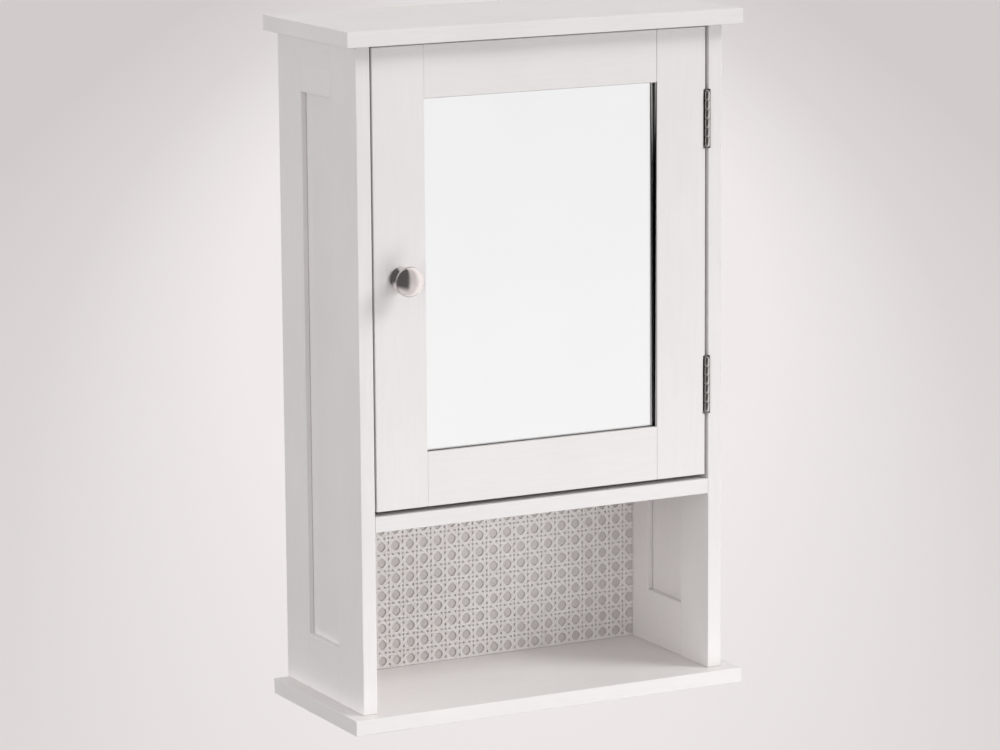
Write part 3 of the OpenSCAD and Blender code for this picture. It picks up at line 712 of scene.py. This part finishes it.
def aim(light, azimuth, elevation, distance):
    """Stands a light round the cabinet, facing it; azimuth 0 is in front of the door, 90 to its right."""
    a, e = math.radians(azimuth), math.radians(elevation)
    towards = Vector((math.sin(a) * math.cos(e), -math.cos(a) * math.cos(e), math.sin(e)))
    bpy.context.scene.collection.objects.link(light)
    light.location = (cabinet_low + cabinet_high) / 2 + towards * distance
    light.rotation_mode = "QUATERNION"
    light.rotation_quaternion = towards.to_track_quat("Z", "Y")
    light.visible_camera = False
    light.visible_glossy = False
    light.visible_transmission = False


def area_light(name, azimuth, elevation, distance, size, power):
    """A soft box."""
    data = bpy.data.lights.new(name, "AREA")
    data.shape = "RECTANGLE"
    data.size, data.size_y = size
    data.energy = power
    aim(bpy.data.objects.new(name, data), azimuth, elevation, distance)


def sun_light(name, azimuth, elevation, spread, strength):
    """A far, wide source, so that it lights the floor evenly too; spread is its angle across."""
    data = bpy.data.lights.new(name, "SUN")
    data.angle = math.radians(spread)
    data.energy = strength
    aim(bpy.data.objects.new(name, data), azimuth, elevation, 3.0)


def make_floor():
    """A wide pale floor with a pool of light painted into its colour, which it also gives off as a glow of
    its own. The cabinet neither mirrors it nor is lit by it.
    """
    s = Surface("floor", Specular_IOR_Level=0.1, Roughness=0.9, Emission_Strength=FLOOR_GLOW)
    place = s.add("ShaderNodeMapping", vector_type="TEXTURE")
    place.inputs["Location"].default_value = (*POOL_CENTRE, FLOOR_Z)
    place.inputs["Rotation"].default_value = (0, 0, math.radians(POOL_TURN))
    place.inputs["Scale"].default_value = (*POOL_SIZE, 1)
    s.link(s.place, place.inputs["Vector"])
    reach = s.add("ShaderNodeVectorMath", operation="LENGTH")
    s.link(place.outputs["Vector"], reach.inputs[0])
    # The painted pool of light: brightest at its centre, used as the floor's colour and as its glow
    tone = s.ramp(reach.outputs["Value"], (0.0, (0.99, 0.965, 0.96)), (0.44, (0.98, 0.94, 0.935)),
                  (0.58, (0.89, 0.855, 0.845)), (0.72, (0.80, 0.765, 0.755)), (1.0, (0.72, 0.68, 0.675)))
    s.colour(tone)
    s.link(tone, s.shader.inputs["Emission Color"])
    bm = bmesh.new()
    corners = ((-FLOOR_REACH, -FLOOR_REACH), (FLOOR_REACH, -FLOOR_REACH), (FLOOR_REACH, FLOOR_REACH),
               (-FLOOR_REACH, FLOOR_REACH))
    bm.faces.new([bm.verts.new((x, y, FLOOR_Z)) for x, y in corners])
    mesh = bpy.data.meshes.new("floor")
    bm.to_mesh(mesh)
    bm.free()
    mesh.materials.append(s.material)
    floor = bpy.data.objects.new("floor", mesh)
    bpy.context.scene.collection.objects.link(floor)
    floor.visible_diffuse = False
    floor.visible_glossy = False
    floor.visible_transmission = False


class Sky:
    """Short calls for the nodes of the world."""

    def __init__(self, tree):
        self.tree = tree

    def add(self, kind, **settings):
        node = self.tree.nodes.new(kind)
        for key, value in settings.items():
            setattr(node, key, value)
        return node

    def math(self, operation, *values):
        node = self.add("ShaderNodeMath", operation=operation)
        for socket, value in zip(node.inputs, values):
            if isinstance(value, (int, float)):
                socket.default_value = value
            else:
                self.tree.links.new(value, socket)
        return node.outputs["Value"]

    def step(self, value, start, end):
        """0 before start and 1 after end, smoothly."""
        node = self.add("ShaderNodeMapRange", interpolation_type="SMOOTHSTEP")
        for key, number in (("From Min", start), ("From Max", end)):
            node.inputs[key].default_value = number
        self.tree.links.new(value, node.inputs["Value"])
        return node.outputs["Result"]

    def fall(self, value, start, end):
        """1 before start and 0 after end, smoothly."""
        return self.math("SUBTRACT", 1.0, self.step(value, start, end))

    def blend(self, share, first, second):
        """First where share is 0 and second where it is 1."""
        part = self.math("MULTIPLY", share, second)
        return self.math("MULTIPLY_ADD", self.math("SUBTRACT", 1.0, share), first, part)


def make_room():
    """A pale studio, bright overhead. Polished things mirror a brighter room, with a dark bay from in
    front of the cabinet round to its left."""
    world = bpy.data.worlds.new("studio")
    bpy.context.scene.world = world
    world.use_nodes = True
    sky = Sky(world.node_tree)
    sky.tree.nodes.clear()
    out = sky.add("ShaderNodeOutputWorld")
    background = sky.add("ShaderNodeBackground")
    axes = sky.add("ShaderNodeSeparateXYZ")
    sky.tree.links.new(sky.add("ShaderNodeTexCoord").outputs["Generated"], axes.inputs["Vector"])
    height = axes.outputs["Z"]
    azimuth = sky.math("ARCTAN2", axes.outputs["X"], sky.math("MULTIPLY", axes.outputs["Y"], -1.0))
    azimuth = sky.math("MULTIPLY", azimuth, 180 / math.pi)

    overhead = sky.blend(sky.step(height, *OVERHEAD_EDGE), BAND_LEVEL, OVERHEAD_LEVEL)
    lighting = sky.math("MULTIPLY", overhead, sky.step(height, *HORIZON_EDGE))

    sides = sky.math("MULTIPLY", sky.step(azimuth, *BAY_START), sky.fall(azimuth, *BAY_END))
    bay = sky.math("MULTIPLY", sides, sky.step(height, *BAY_FOOT))
    ahead = sky.blend(sky.step(height, *MIRRORED_TURN), MIRRORED_LOW, MIRRORED_HIGH)
    window = sky.math("MULTIPLY", sky.step(azimuth, *RIGHT_START), sky.fall(azimuth, *RIGHT_END))
    mirrored = sky.blend(window, ahead, MIRRORED_RIGHT)
    mirrored = sky.blend(bay, mirrored, BAY_LEVEL)

    rays = sky.add("ShaderNodeLightPath").outputs
    polished = sky.math("MAXIMUM", rays["Is Glossy Ray"], rays["Is Transmission Ray"])
    level = sky.blend(polished, lighting, mirrored)
    level = sky.blend(rays["Is Camera Ray"], level, SEEN_LEVEL)
    sky.tree.links.new(level, background.inputs["Strength"])
    background.inputs["Color"].default_value = ROOM_TINT
    sky.tree.links.new(background.outputs["Background"], out.inputs["Surface"])


make_camera()
make_floor()
make_room()
sun_light("key", azimuth=52, elevation=36, spread=24, strength=1.56)
area_light("right_fill", azimuth=36, elevation=-3, distance=2.5, size=(1.2, 1.6), power=11.4)
area_light("front_fill", azimuth=12, elevation=2, distance=2.5, size=(1.2, 1.6), power=3.8)
area_light("left_front_fill", azimuth=-55, elevation=5, distance=2.5, size=(1.2, 1.6), power=14.2)
area_light("left_fill", azimuth=-92, elevation=5, distance=2.5, size=(1.4, 1.6), power=15.0)
area_light("left_back_fill", azimuth=-130, elevation=5, distance=2.5, size=(1.6, 1.6), power=6.5)
area_light("back_fill", azimuth=175, elevation=-5, distance=2.5, size=(2.4, 0.8), power=26)
area_light("low_fill", azimuth=15, elevation=-38, distance=1.2, size=(1.4, 0.8), power=5.1)
bpy.context.scene.view_settings.view_transform = "Standard"
